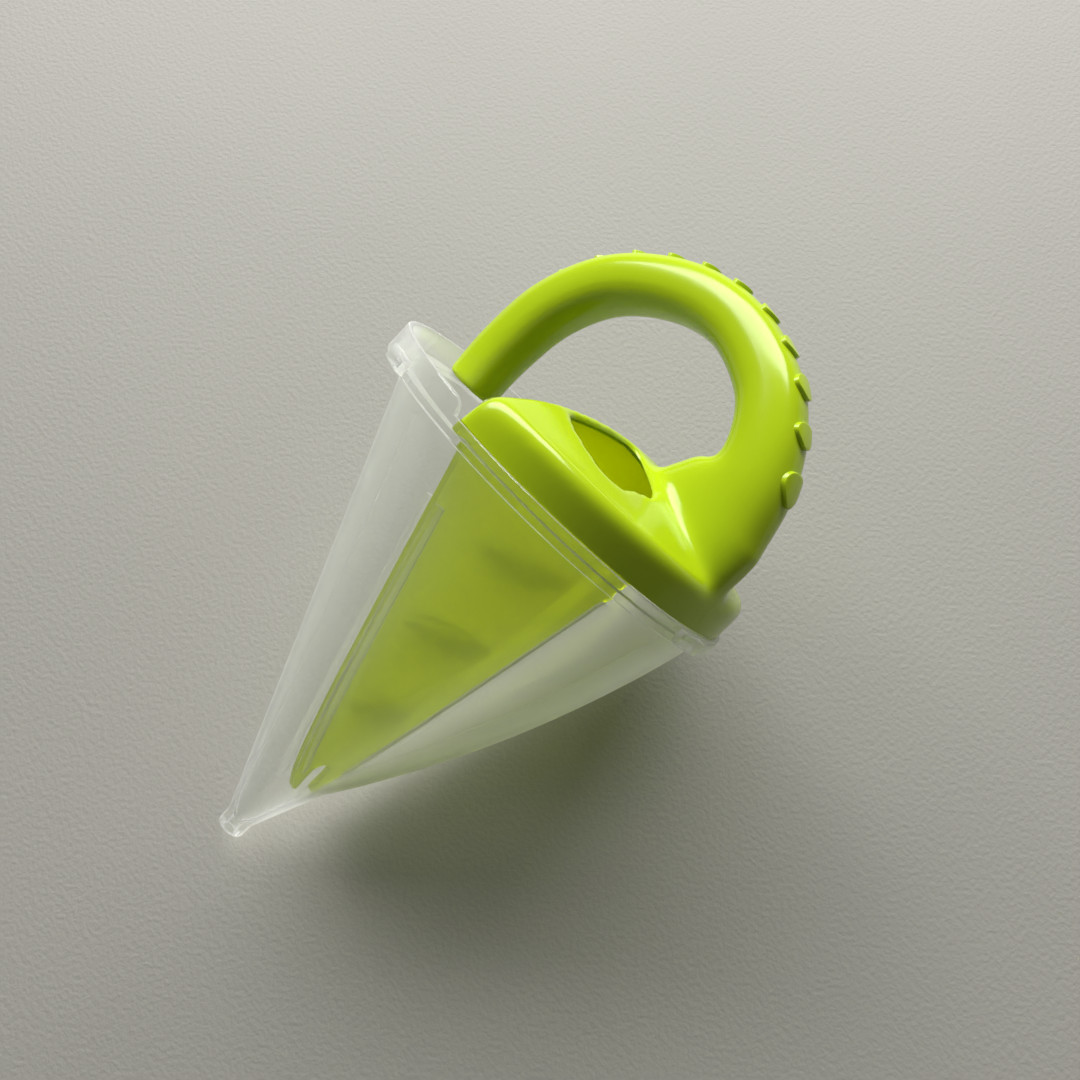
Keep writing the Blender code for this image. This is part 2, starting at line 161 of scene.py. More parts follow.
# Stage, in metres: the window's place along the picture's up and right and straight up, and its size
WINDOW_UP = 1.25
WINDOW_RIGHT = 0.1
WINDOW_RISE = 0.95
WINDOW_SIZE = (2.2, 0.8)
WINDOW_WATTS = 47.0
LIT_HEIGHT = 0.04
SKY = (0.95, 0.97, 1.0, 1.0)
SKY_STRENGTH = 0.1
TABLE_HALF = 1.5

# Camera of the photograph: pixels of a square image, angles in degrees, distance in millimetres
IMAGE_SIZE = 1080.0
FOCAL_PIXELS = 1200.0
COLLAR_PIXEL = (551.1, 496.4)
CAMERA_TILT = 7.77
CAMERA_ROLL = 44.23
CAMERA_TURN = 54.0
CAMERA_DISTANCE = 357.8
SENSOR = 36.0


def linear(code):
    """A linear colour from an sRGB hex code."""
    values = [int(code[i:i + 2], 16) / 255.0 for i in (0, 2, 4)]
    return tuple(v / 12.92 if v <= 0.04045 else ((v + 0.055) / 1.055) ** 2.4 for v in values)


def length(label, size, note):
    """A length property, written in millimetres and held in metres."""
    return FloatProperty(name=label, description=note, default=size * MM, unit="LENGTH", precision=5)


def colour(label, code, note):
    """A colour property, written as an sRGB hex code."""
    return FloatVectorProperty(
        name=label, description=note, subtype="COLOR", min=0.0, max=1.0, default=linear(code),
    )


class FunnelSizes(PropertyGroup):
    """Sizes of the clear funnel."""
    cone_height: length("Cone height", 148.0, "Nozzle end to the collar's underside")
    cone_radius: length("Cone radius", 58.3, "Outside of the cone under the collar")
    nozzle_radius: length("Nozzle radius", 4.6, "Outside of the nozzle")
    nozzle_length: length("Nozzle length", 5.0, "Straight part of the nozzle")
    bore_radius: length("Bore radius", 1.8, "Hole of the nozzle")
    wall: length("Wall", 1.8, "Thickness of the cone")
    collar_radius: length("Collar radius", 65.0, "Outside of the collar")
    collar_wall: length("Collar wall", 2.0, "Thickness of the collar")
    ledge: length("Ledge", 2.0, "Thickness of the ledge inside the collar")
    rim_height: length("Rim height", 5.4, "Low rim under the lid, above the collar's underside")
    lip_height: length("Lip height", 9.4, "Raised lip round the open side")
    lip_fold: length("Lip fold", 3.0, "Height from which the lip rises")
    lip_curl: length("Lip curl", 5.0, "Length of the rounded end of the lip")
    edge_round: length("Edge round", 0.7, "Rounding of the collar's edges")
    belly_start: length("Belly start", 32.0, "Height at which the belly leaves the cone")
    belly_crown: length("Belly crown", 5.6, "How far the belly stands out")
    belly_at_collar: length("Belly at collar", 2.5, "How far the belly stands out under the collar")
    lug_angle: FloatProperty(
        name="Lug angle", description="Side lugs, from the front lug", subtype="ANGLE",
        default=math.radians(110.0),
    )
    lug_width: length("Lug width", 12.0, "Width of a lug round the collar")
    lug_depth: length("Lug depth", 2.2, "How far a lug stands out")
    lug_foot: length("Lug foot", 0.5, "Foot of a lug above the collar's underside")
    lug_height: length("Lug height", 4.5, "Height of a lug")
    rail_thickness: length("Rail thickness", 1.6, "Thickness of a guide rail")
    rail_depth: length("Rail depth", 3.0, "How far a guide rail stands in from the wall")
    rail_top: length("Rail top", 132.0, "Top of the guide rails")
    front_rail_foot: length("Front rail foot", 32.0, "Foot of the rails on the sand side")
    rear_rail_foot: length("Rear rail foot", 39.0, "Foot of the rails on the lid's side")
    columns: IntProperty(name="Columns", description="Steps round the funnel", default=480, min=48)
    rows: IntProperty(name="Rows", description="Steps up the cone", default=36, min=8)


class InsertSizes(PropertyGroup):
    """Sizes of the green insert."""
    plate_front: length("Plate front", 8.0, "Sand-side face of the divider, from the axis")
    plate_thickness: length("Plate thickness", 2.3, "Thickness of the divider")
    plate_foot: length("Plate foot", 29.5, "Lower end of the divider")
    notch_width: length("Notch width", 7.0, "Width of the notch in the divider's foot")
    notch_height: length("Notch height", 11.0, "Height of the notch in the divider's foot")
    fin_depth: length("Fin depth", 5.0, "How far a fin stands out")
    fin_thickness: length("Fin thickness", 2.6, "Thickness of a fin")
    fin_pitch: length("Fin pitch", 31.5, "Distance from fin to fin")
    fin_start: length("Fin start", 66.0, "Height of the lowest fin")
    shell_wall: length("Shell wall", 2.4, "Wall of the lid and the handle")
    skirt_radius: length("Skirt radius", 63.8, "Outside of the lid's skirt")
    skirt_top: length("Skirt top", 13.4, "Top of the skirt above the collar's underside")
    shoulder_radius: length("Shoulder radius", 59.8, "Radius at which the dome begins")
    shoulder_height: length("Shoulder height", 18.0, "Height at which the dome begins")
    crown_height: length("Crown height", 29.5, "Top of the dome")
    hole_round: length("Hole round", 1.6, "Reach of the rounding of the hole's edge")
    rim_wall: length("Rim wall", 1.2, "Wall of the lid along the hole's edge")
    rim_reach: length("Rim reach", 3.0, "Width of the thin strip along the hole's edge")
    fillet: length("Fillet", 3.4, "Reach of the fillet between the lid and the handle")
    corner: length("Corner", 4.0, "Reach of the rounding of the lid's straight edge")
    end_round: length("End round", 13.0, "Reach of the rounding at the two ends of the lid's straight edge")
    saddle_x: length("Saddle x", 17.0, "Where the handle's inner curve runs into the lid, from the axis")
    saddle: length("Saddle", 9.0, "Reach of the rounding of the handle's inner curve into the lid")
    scale_rise: length("Scale rise", 1.0, "How far a scale stands out")
    scale_width: length("Scale width", 9.0, "Width of the widest scale")
    scale_length: length("Scale length", 5.4, "Length of the longest scale")
    scale_start: length("Scale start", 42.8, "First scale, along the arch from its foot")
    scale_pitch: length("Scale pitch", 11.26, "Distance from scale to scale along the arch")
    scale_count: IntProperty(name="Scales", description="Scales on the handle's spine", default=11, min=2)
    voxel: length("Voxel", 0.8, "Grain of the blended surface")
    gap: length("Gap", 0.3, "Clearance between pieces that touch")
    slide_gap: length("Slide gap", 0.4, "Clearance between pieces that slide")
    parting: length("Parting", 0.03, "Width of the moulding's parting line")


class Finishes(PropertyGroup):
    """Colours of the plastics and of the table."""
    clear: colour("Clear", "FBFCFA", "Clear polystyrene")
    green: colour("Green", "BCD814", "Glossy polypropylene of the lid and handle")
    plate: colour("Plate", "C2D400", "Translucent polypropylene of the divider")
    table: colour("Table", "AAA89F", "Painted table")


def lay_matrix(sizes):
    """Places the upright model as the frame lies: along the slide's axis, one side lug straight down."""
    axis = Vector(frame["joints"][0]["axis"]).normalized()
    down = Vector((0.0, axis.z, -axis.y))
    lid_side = math.cos(sizes.lug_angle) * down - math.sin(sizes.lug_angle) * axis.cross(down)
    far_side = axis.cross(lid_side)
    nozzle = next(m for m in frame["record"]["mounts"] if m["name"] == "nozzle_end")
    middle = (sizes.nozzle_radius + sizes.bore_radius) / 2
    origin = Vector(nozzle["pos_m"]) - lid_side * middle
    turn = Matrix((lid_side, far_side, axis)).transposed()
    return Matrix.Translation(origin) @ turn.to_4x4()


# Shared modelling steps

def even(start, stop, count):
    """Values from start to stop in a count of even steps."""
    return [start + (stop - start) * i / count for i in range(count + 1)]


def spline(a, b, c, d, t):
    """A value between b and c on a smooth curve through four values."""
    square = 2 * a - 5 * b + 4 * c - d
    cube = 3 * b - a - 3 * c + d
    return 0.5 * (2 * b + (c - a) * t + square * t ** 2 + cube * t ** 3)


def spline_slope(a, b, c, d, t):
    """The slope of that curve."""
    square = 2 * a - 5 * b + 4 * c - d
    cube = 3 * b - a - 3 * c + d
    return 0.5 * ((c - a) + 2 * square * t + 3 * cube * t ** 2)


def held(name, bm):
    """A loose object that holds a bmesh while pieces are cut and joined."""
    bmesh.ops.recalc_face_normals(bm, faces=bm.faces)
    mesh = bpy.data.meshes.new(name)
    bm.to_mesh(mesh)
    bm.free()
    obj = bpy.data.objects.new(name, mesh)
    bpy.context.scene.collection.objects.link(obj)
    return obj


def loaded(obj):
    """A bmesh of an object's mesh."""
    bm = bmesh.new()
    bm.from_mesh(obj.data)
    return bm


def stored(bm, obj):
    """Writes a bmesh back to its object."""
    bm.to_mesh(obj.data)
    bm.free()
    return obj


def settle(obj):
    """Applies an object's modifiers to its mesh."""
    graph = bpy.context.evaluated_depsgraph_get()
    mesh = bpy.data.meshes.new_from_object(obj.evaluated_get(graph))
    obj.modifiers.clear()
    old = obj.data
    obj.data = mesh
    bpy.data.meshes.remove(old)
    return obj


def carve(obj, tool, operation):
    """Joins or cuts an object with a tool and removes the tool."""
    mod = obj.modifiers.new(operation.title(), "BOOLEAN")
    mod.operation = operation
    mod.solver = "EXACT"
    mod.object = tool
    settle(obj)
    bpy.data.objects.remove(tool)
    return obj


def block(name, low, high):
    """A loose box between two corners."""
    bm = bmesh.new()
    size = [b - a for a, b in zip(low, high)]
    centre = [(a + b) / 2 for a, b in zip(low, high)]
    bmesh.ops.create_cube(bm, size=1.0, matrix=Matrix.LocRotScale(centre, None, size))
    return held(name, bm)


def prism(outline, thickness, place):
    """A bmesh of a flat outline pushed out by a thickness and placed by a matrix."""
    bm = bmesh.new()
    base = bm.faces.new([bm.verts.new((u, v, 0.0)) for u, v in outline])
    pushed = bmesh.ops.extrude_face_region(bm, geom=[base])
    moved = [v for v in pushed["geom"] if isinstance(v, bmesh.types.BMVert)]
    bmesh.ops.translate(bm, vec=(0.0, 0.0, thickness), verts=moved)
    bmesh.ops.transform(bm, matrix=place, verts=bm.verts)
    bmesh.ops.recalc_face_normals(bm, faces=bm.faces)
    return bm


def standing(x):
    """Stands a flat (y, z) outline up at a distance from the axis, pushed out along +X."""
    rows = ((0.0, 0.0, 1.0, x), (1.0, 0.0, 0.0, 0.0), (0.0, 1.0, 0.0, 0.0), (0.0, 0.0, 0.0, 1.0))
    return Matrix(rows)


def turned(profile, steps):
    """A bmesh turned about the axis from (radius, height) points."""
    bm = bmesh.new()
    verts = [bm.verts.new((r, 0.0, z)) for r, z in profile]
    edges = [bm.edges.new(pair) for pair in zip(verts, verts[1:])]
    if profile[0][0] > 0.0:
        edges.append(bm.edges.new((verts[-1], verts[0])))
    bmesh.ops.spin(
        bm, geom=verts + edges, cent=(0.0, 0.0, 0.0), axis=(0.0, 0.0, 1.0),
        angle=2 * math.pi, steps=steps, use_merge=True,
    )
    bmesh.ops.remove_doubles(bm, verts=bm.verts, dist=0.001 * MM)
    bmesh.ops.recalc_face_normals(bm, faces=bm.faces)
    return bm


def soften(bm, edges, width):
    """Rounds edges by a width in millimetres."""
    bmesh.ops.bevel(
        bm, geom=edges, offset=width * MM, offset_type="OFFSET", segments=2, profile=0.5,
        affect="EDGES", clamp_overlap=True, material=-1,
    )


def sharp_edges(bm, angle):
    """Edges whose faces turn by more than an angle in degrees."""
    return [e for e in bm.edges if len(e.link_faces) == 2 and e.calc_face_angle(0.0) > math.radians(angle)]


def finish_piece(obj, name, plastic, body, node, crease):
    """Lays a piece down, shades it, ties it to its body and hides the CAD part of its node."""
    obj.name = name
    obj.data.name = name
    obj.data.transform(lay_matrix(bpy.context.scene.funnel_sizes))
    obj.data.materials.clear()
    obj.data.materials.append(plastic)
    obj.data.shade_smooth()
    obj.data.set_sharp_from_angle(angle=math.radians(crease))
    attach(obj, body)
    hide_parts(node)
    return obj


# Materials

def add_node(tree, kind, settings=None, links=None):
    """Adds a node, sets its properties or inputs, and links sockets into it."""
    node = tree.nodes.new(kind)
    for key, value in (settings or {}).items():
        if isinstance(key, str) and hasattr(node, key):
            setattr(node, key, value)
        else:
            node.inputs[key].default_value = value
    for key, socket in (links or {}).items():
        tree.links.new(socket, node.inputs[key])
    return node


def new_material(name):
    """An empty material, its node tree, and its Object coordinates."""
    mat = bpy.data.materials.new(name)
    mat.use_nodes = True
    mat.node_tree.nodes.clear()
    place = add_node(mat.node_tree, "ShaderNodeTexCoord").outputs["Object"]
    return mat, mat.node_tree, place


def noise(tree, place, size, detail, roughness=0.5):
    """A noise with features of a real size in millimetres."""
    return add_node(
        tree, "ShaderNodeTexNoise", {"Scale": 1.0 / (size * MM), "Detail": detail, "Roughness": roughness},
        {"Vector": place},
    ).outputs["Fac"]


def dent(tree, height, strength, depth):
    """Normals of a relief with a depth in millimetres."""
    return add_node(
        tree, "ShaderNodeBump", {"Strength": strength, "Distance": depth * MM}, {"Height": height},
    ).outputs["Normal"]


def remap(tree, value, before, after):
    """Maps a value from one range onto another."""
    return add_node(
        tree, "ShaderNodeMapRange",
        {"From Min": before[0], "From Max": before[1], "To Min": after[0], "To Max": after[1]},
        {"Value": value},
    ).outputs["Result"]


def two_tone(tree, share, tone, dim, base=None):
    """A tone, or the colour of a base, that goes over into a dimmed tone by a share."""
    links = {"Factor": share}
    if base:
        links["A"] = base
    dimmed = [c * dim for c in tone]
    return add_node(
        tree, "ShaderNodeMix", {"data_type": "RGBA", "A": (*tone, 1.0), "B": (*dimmed, 1.0)}, links,
    ).outputs["Result"]


def plain_shader(tree, kind, tone):
    """A shader of one kind and one tone."""
    return add_node(tree, "ShaderNodeBsdf" + kind, {"Color": (*tone, 1.0)}).outputs["BSDF"]


def mix_shaders(tree, share, first, second):
    """A share of the second shader over the first. The share is a number or a socket."""
    node = add_node(tree, "ShaderNodeMixShader", None, {1: first, 2: second})
    if isinstance(share, float):
        node.inputs[0].default_value = share
    else:
        tree.links.new(share, node.inputs[0])
    return node.outputs["Shader"]


def pass_light(tree, surface, tint):
    """Lets shadow rays through with a tint, so that light from the window passes the wall."""
    path = add_node(tree, "ShaderNodeLightPath")
    return mix_shaders(tree, path.outputs["Is Shadow Ray"], surface, plain_shader(tree, "Transparent", tint))


def clear_polystyrene(tone):
    """Injection-moulded clear polystyrene: whitish edges, hard glints, faint flow waves in its skin."""
    mat, tree, place = new_material("clear_polystyrene")
    waves = noise(tree, place, 26.0, 1.0, 0.4)
    haze = noise(tree, place, 9.0, 3.0)
    glass = add_node(
        tree, "ShaderNodeBsdfPrincipled",
        {
            "Base Color": (*tone, 1.0), "IOR": 1.15, "Transmission Weight": 1.0,
            "Coat Weight": 0.7, "Coat IOR": 1.5, "Coat Roughness": 0.03,
        },
        {"Roughness": remap(tree, haze, CLOUD_RANGE, (0.02, 0.06)), "Normal": dent(tree, waves, 0.2, 0.25)},
    )
    slant = add_node(tree, "ShaderNodeLayerWeight", {"Blend": 0.5})
    steep = add_node(tree, "ShaderNodeMath", {"operation": "POWER", 1: 1.6}, {0: slant.outputs["Facing"]})
    milk = remap(tree, steep.outputs["Value"], (0.0, 1.0), (0.03, 0.65))
    face = plain_shader(tree, "Diffuse", tone)
    white = mix_shaders(tree, 0.5, face, plain_shader(tree, "Translucent", tone))
    surface = pass_light(tree, mix_shaders(tree, milk, glass.outputs["BSDF"], white), CLEAR_TINT)
    add_node(tree, "ShaderNodeOutputMaterial", None, {"Surface": surface})
    return mat


def green_polypropylene(name, tone, depth, scatter, roughness, glow=0.0, clarity=0.0, fins=None):
    """Injection-moulded polypropylene: even lime colour, a soft glow in thin walls, orange-peel gloss, and
    painted shade that darkens the fins when they are given.
    """
    mat, tree, place = new_material(name)
    clouds = noise(tree, place, 30.0, 2.0)
    pigment_and_fin_shade = two_tone(tree, clouds, tone, CLOUD_TONE)
    if fins:
        # Painted shade: darkens the colour of the fins to stand in for the light that a fin, thicker than the
        # plate, holds back, and for the shade on its sides.
        outwards, face = fins
        out = add_node(tree, "ShaderNodeVectorMath", {"operation": "DOT_PRODUCT", 1: outwards}, {0: place})
        share = remap(tree, out.outputs["Value"], (face, face + FIN_SHADE_FADE * MM), (0.0, 1.0))
        pigment_and_fin_shade = two_tone(tree, share, tone, FIN_PAINTED_SHADE, pigment_and_fin_shade)
    peel = noise(tree, place, 2.2, 1.0)
    shader = add_node(
        tree, "ShaderNodeBsdfPrincipled",
        {
            "IOR": 1.49, "Subsurface Weight": scatter, "Subsurface Radius": (1.0, 1.0, 0.25),
            "Subsurface Scale": depth * MM, "Transmission Weight": clarity,
        },
        {
            "Base Color": pigment_and_fin_shade, "Normal": dent(tree, peel, 0.12, 0.05),
            "Roughness": remap(tree, clouds, CLOUD_RANGE, (roughness - 0.04, roughness + 0.05)),
        },
    )
    surface = shader.outputs["BSDF"]
    if glow > 0.0:
        paler = [math.sqrt(c) for c in tone]
        surface = mix_shaders(tree, glow, surface, plain_shader(tree, "Translucent", paler))
    if clarity > 0.0:
        surface = pass_light(tree, surface, [c * GREEN_TINT for c in tone])
    add_node(tree, "ShaderNodeOutputMaterial", None, {"Surface": surface})
    return mat


def painted_table(tone):
    """Matt grey paint over a rolled ground: faint cloudiness and a fine roller grain."""
    mat, tree, place = new_material("painted_table")
    clouds = noise(tree, place, 90.0, 4.0)
    grain = noise(tree, place, 1.6, 3.0)
    paint = add_node(
        tree, "ShaderNodeBsdfPrincipled", {"Roughness": 0.6},
        {
            "Base Color": two_tone(tree, clouds, tone, PAINT_CLOUD_TONE),
            "Normal": dent(tree, grain, 0.8, 0.3),
        },
    )
    add_node(tree, "ShaderNodeOutputMaterial", None, {"Surface": paint.outputs["BSDF"]})
    return mat


# Clear funnel

def cone_slope(sizes):
    """How much wider the plain cone gets with height."""
    return (sizes.cone_radius - sizes.nozzle_radius) / (sizes.cone_height - sizes.nozzle_length)


def cone_outer(sizes, z):
    """Outer radius of the plain cone at a height above the nozzle's end."""
    return sizes.nozzle_radius + cone_slope(sizes) * max(z - sizes.nozzle_length, 0.0)


def wall_across(sizes):
    """The cone's wall measured level, not square to its slope."""
    return sizes.wall * math.sqrt(1.0 + cone_slope(sizes) ** 2)


def crease_plane():
    """Distance from the axis at which the belly's crease runs, just behind the divider."""
    insert = bpy.context.scene.insert_sizes
    return insert.plate_front + insert.plate_thickness + insert.slide_gap


def belly(sizes, z, angle):
    """How far the wall stands out from the plain cone on the lid's side."""
    if z <= sizes.belly_start:
        return 0.0
    radius = cone_outer(sizes, z)
    crease = crease_plane()
    reach = (radius * math.cos(angle) - crease) / (radius - crease)
    if reach <= 0.0:
        return 0.0
    rise = min((z - sizes.belly_start) / (sizes.cone_height - sizes.belly_start), 1.0)
    swell = max(math.sin(math.pi * rise), 0.0) ** BELLY_FULLNESS
    height = sizes.belly_at_collar * rise + sizes.belly_crown * swell
    return height * math.sin(0.5 * math.pi * min(reach, 1.0))


def funnel_profile(sizes):
    """The moulding's section as one closed line of (radius, height) points."""
    top = sizes.cone_height
    lip = top + sizes.lip_height
    fold = top + sizes.lip_fold
    floor = top + sizes.ledge
    outer = sizes.collar_radius
    inner = outer - sizes.collar_wall
    ease = sizes.edge_round
    soft = ROUND_MIDDLE * ease
    across = wall_across(sizes)
    nozzle = sizes.nozzle_radius
    heights = even(sizes.nozzle_length, top - ease, sizes.rows)
    points = [(sizes.bore_radius + soft, 0.0), (nozzle - ease, 0.0), (nozzle - soft, soft), (nozzle, ease)]
    points += [(cone_outer(sizes, z), z) for z in heights]
    points += [(sizes.cone_radius + soft, top - soft), (sizes.cone_radius + ease, top)]
    points += [(outer - ease, top), (outer - soft, top + soft), (outer, top + ease)]
    points += [(outer, z) for z in even(fold, lip - ease, LIP_STEPS)]
    points += [(outer - soft, lip - soft), (outer - ease, lip)]
    points += [(inner + ease, lip), (inner + soft, lip - soft)]
    points += [(inner, z) for z in even(lip - ease, fold, LIP_STEPS)]
    points += [(inner, floor + ease), (inner - soft, floor + soft), (inner - ease, floor)]
    points += [(sizes.cone_radius - across + ease, floor), (sizes.cone_radius - across + soft, floor - soft)]
    points += [(cone_outer(sizes, z) - across, z) for z in reversed(heights[1:])]
    points += [(sizes.bore_radius, sizes.nozzle_length), (sizes.bore_radius, soft)]
    return points


def shape_funnel(sizes, bm):
    """Moves the turned wall into the belly and brings the lip down under the lid."""
    crease = crease_plane()
    step = 2 * math.pi / sizes.columns
    home = round(math.acos(crease / sizes.cone_radius) / step) * step
    collar_inner = sizes.collar_radius - sizes.collar_wall
    fold = sizes.cone_height + sizes.lip_fold
    insert = bpy.context.scene.insert_sizes
    lip_end = math.acos((insert.plate_front - insert.slide_gap) / sizes.collar_radius)
    low_share = (sizes.rim_height - sizes.lip_fold) / (sizes.lip_height - sizes.lip_fold)
    for vert in bm.verts:
        x, y, z = vert.co
        radius = math.hypot(x, y)
        angle = math.atan2(y, x)
        if z > fold:
            along = (abs(angle) - lip_end) * sizes.collar_radius / sizes.lip_curl
            curl = math.sqrt(1.0 - (1.0 - min(max(along, 0.0), 1.0)) ** 2)
            vert.co.z = fold + (z - fold) * (low_share + (1.0 - low_share) * curl)
            continue
        weight = min(max((collar_inner - radius) / (collar_inner - sizes.cone_radius), 0.0), 1.0)
        level = cone_outer(sizes, min(max(z, sizes.belly_start), sizes.cone_height))
        edge = math.acos(min(crease / level, CREASE_LIMIT))
        if abs(angle) <= home:
            wanted = abs(angle) * edge / home
        else:
            wanted = edge + (abs(angle) - home) * (math.pi - edge) / (math.pi - home)
        angle += weight * (math.copysign(wanted, angle) - angle)
        radius += weight * belly(sizes, min(z, sizes.cone_height), angle)
        vert.co = (radius * math.cos(angle), radius * math.sin(angle), z)


def rail_bar(sizes, start, foot):
    """One guide rail on the near side: a bar with a round foot that follows the wall."""
    across = wall_across(sizes)
    sunk = sizes.wall / 2

    def wall_y(z):
        return math.sqrt((cone_outer(sizes, z) - across) ** 2 - start ** 2)

    heights = even(foot, sizes.rail_top, WALL_STEPS)
    half = (sizes.rail_depth + sunk) / 2
    outline = [(-(wall_y(z) + sunk), z) for z in heights]
    outline += [(-(wall_y(z) - sizes.rail_depth), z) for z in reversed(heights)]
    middle = -(wall_y(foot) + sunk - half)
    for turn in even(0.0, math.pi, RAIL_FOOT_STEPS)[1:-1]:
        outline.append((middle + half * math.cos(turn), foot - half * math.sin(turn)))
    bm = prism(outline, sizes.rail_thickness, standing(start))
    soften(bm, sharp_edges(bm, 60.0), RAIL_EDGE)
    return bm


def lug(sizes, angle):
    """One lug on the collar's outside, sunk half into the collar's wall."""
    bm = bmesh.new()
    depth = sizes.lug_depth + sizes.collar_wall / 2
    middle = sizes.collar_radius + sizes.lug_depth - depth / 2
    height = sizes.cone_height + sizes.lug_foot + sizes.lug_height / 2
    size = (depth, sizes.lug_width, sizes.lug_height)
    bmesh.ops.create_cube(bm, size=1.0, matrix=Matrix.LocRotScale((middle, 0.0, height), None, size))
    soften(bm, list(bm.edges), LUG_EDGE)
    bmesh.ops.rotate(bm, cent=(0.0, 0.0, 0.0), matrix=Matrix.Rotation(angle, 3, "Z"), verts=bm.verts)
    return bm


def make_funnel(sizes, insert, plastic):
    """The clear moulding: turned wall with belly and lip, guide rails and lugs."""
    bm = turned(funnel_profile(sizes), sizes.columns)
    shape_funnel(sizes, bm)
    funnel = held("funnel_wall", bm)
    front = insert.plate_front - insert.slide_gap - sizes.rail_thickness
    for start, foot in ((front, sizes.front_rail_foot), (crease_plane(), sizes.rear_rail_foot)):
        for side in (1.0, -1.0):
            bar = rail_bar(sizes, start, foot)
            bmesh.ops.scale(bar, vec=(1.0, side, 1.0), verts=bar.verts)
            carve(funnel, held("rail", bar), "UNION")
    for angle in (0.0, sizes.lug_angle, -sizes.lug_angle):
        carve(funnel, held("lug", lug(sizes, angle)), "UNION")
    return finish_piece(funnel, "funnel_wall", plastic, "funnel", "funnel", 30.0)


# Green lid and handle

def lid_profile(insert, foot):
    """The lid's outer (radius, height) line from a foot to the crown, above the collar's underside."""
    corner_r = insert.skirt_radius - insert.shoulder_radius
    corner_h = insert.shoulder_height - insert.skirt_top
    points = [(insert.skirt_radius, foot), (insert.skirt_radius, insert.skirt_top)]
    for turn in even(0.0, 0.5 * math.pi, SHOULDER_STEPS)[1:-1]:
        out = corner_r * math.cos(turn)
        points.append((insert.shoulder_radius + out, insert.skirt_top + corner_h * math.sin(turn)))
    for radius in even(insert.shoulder_radius, 0.0, DOME_STEPS):
        points.append((radius, dome_height(insert, radius)))
    return points


def dome_height(insert, radius):
    """Height of the lid's dome above the collar's underside."""
    rise = insert.crown_height - insert.shoulder_height
    sphere = (insert.shoulder_radius ** 2 + rise ** 2) / (2 * rise)
    return insert.crown_height - sphere + math.sqrt(sphere ** 2 - min(radius, insert.shoulder_radius) ** 2)


def arch_point(share):
    """Centre, tangent, radius and half width on the arch at a share of its control points, in metres."""
    place = share * (len(ARCH) - 1)
    i = min(int(place), len(ARCH) - 2)
    t = place - i
    near = [ARCH[min(max(i + k, 0), len(ARCH) - 1)] for k in (-1, 0, 1, 2)]
    xs, heights, radii, widths = zip(*near)
    top = bpy.context.scene.funnel_sizes.cone_height
    centre = Vector((spline(*xs, t) * MM, 0.0, top + spline(*heights, t) * MM))
    tangent = Vector((spline_slope(*xs, t), 0.0, spline_slope(*heights, t))).normalized()
    return centre, tangent, spline(*radii, t) * MM, spline(*widths, t) * MM


def arch_surface(share, turn, rise=0.0):
    """A point on the handle's skin. Turn 0 is the spine; the section is a rounded square or an oval."""
    centre, tangent, radius, half_width = arch_point(share)
    side = Vector((0.0, 1.0, 0.0))
    spine = tangent.cross(side)
    power = 2.0 / (2.0 + ARCH_SQUARE * half_width / radius)
    out = math.copysign(abs(math.cos(turn)) ** power, math.cos(turn))
    across = math.copysign(abs(math.sin(turn)) ** power, math.sin(turn))
    return centre + (radius + rise) * out * spine + (half_width + rise) * across * side


def arch_places(start, pitch, count):
    """Shares of the arch at even distances along it, from a start measured from the foot."""
    shares = []
    walked = 0.0
    share = 0.0
    step = 1.0 / ARCH_WALK
    while len(shares) < count:
        if walked >= start + pitch * len(shares):
            shares.append(share)
        walked += (arch_point(share + step)[0] - arch_point(share)[0]).length
        share += step
    return shares


def arch_body():
    """The whole handle as a closed tube from rings of points bridged one to the next."""
    bm = bmesh.new()
    loops = []
    for share in even(0.0, 1.0, ARCH_RINGS):
        ring = bmesh.ops.create_circle(bm, cap_ends=False, radius=1.0, segments=ARCH_SIDES)["verts"]
        for i, vert in enumerate(ring):
            vert.co = arch_surface(share, 2 * math.pi * i / ARCH_SIDES)
        loops.append([bm.edges.get(pair) for pair in zip(ring, ring[1:] + ring[:1])])
    for loop, following in zip(loops, loops[1:]):
        bmesh.ops.bridge_loops(bm, edges=loop + following)
    bmesh.ops.holes_fill(bm, edges=[e for e in bm.edges if e.is_boundary], sides=0)
    bmesh.ops.recalc_face_normals(bm, faces=bm.faces)
    return bm


def hole_outline(spread=0.0):
    """The lid's hole as a closed line of (x, y) points through its control points, widened by a spread."""
    points = []
    for i in range(len(HOLE)):
        near = [HOLE[(i + k) % len(HOLE)] for k in (-1, 0, 1, 2)]
        for step in range(HOLE_STEPS):
            share = step / HOLE_STEPS
            along = Vector([spline_slope(*column, share) for column in zip(*near)]).normalized()
            place = Vector([spline(*column, share) * MM for column in zip(*near)])
            points.append(place + spread * Vector((-along.y, along.x)))
    return points


def hole_cutter(sizes, spread=0.0):
    """A loose prism through the lid along the hole's edge, widened by a spread."""
    foot = Matrix.Translation((0.0, 0.0, sizes.cone_height + PIT_FLOOR * MM))
    return held("hole_cutter", prism(hole_outline(spread), PIT_HEIGHT * MM, foot))


def join(first, second):
    """Adds a second object's mesh to the first and removes the second."""
    bm = loaded(first)
    bm.from_mesh(second.data)
    bpy.data.objects.remove(second)
    return stored(bm, first)


def smooth(bm, verts, turns):
    """Evens out points by a number of turns."""
    for _ in range(turns):
        bmesh.ops.smooth_vert(bm, verts=verts, factor=0.5, use_axis_x=True, use_axis_y=True, use_axis_z=True)


def skin_of(obj):
    """A search tree of an object's surface."""
    bm = loaded(obj)
    skin = BVHTree.FromBMesh(bm)
    bm.free()
    return skin


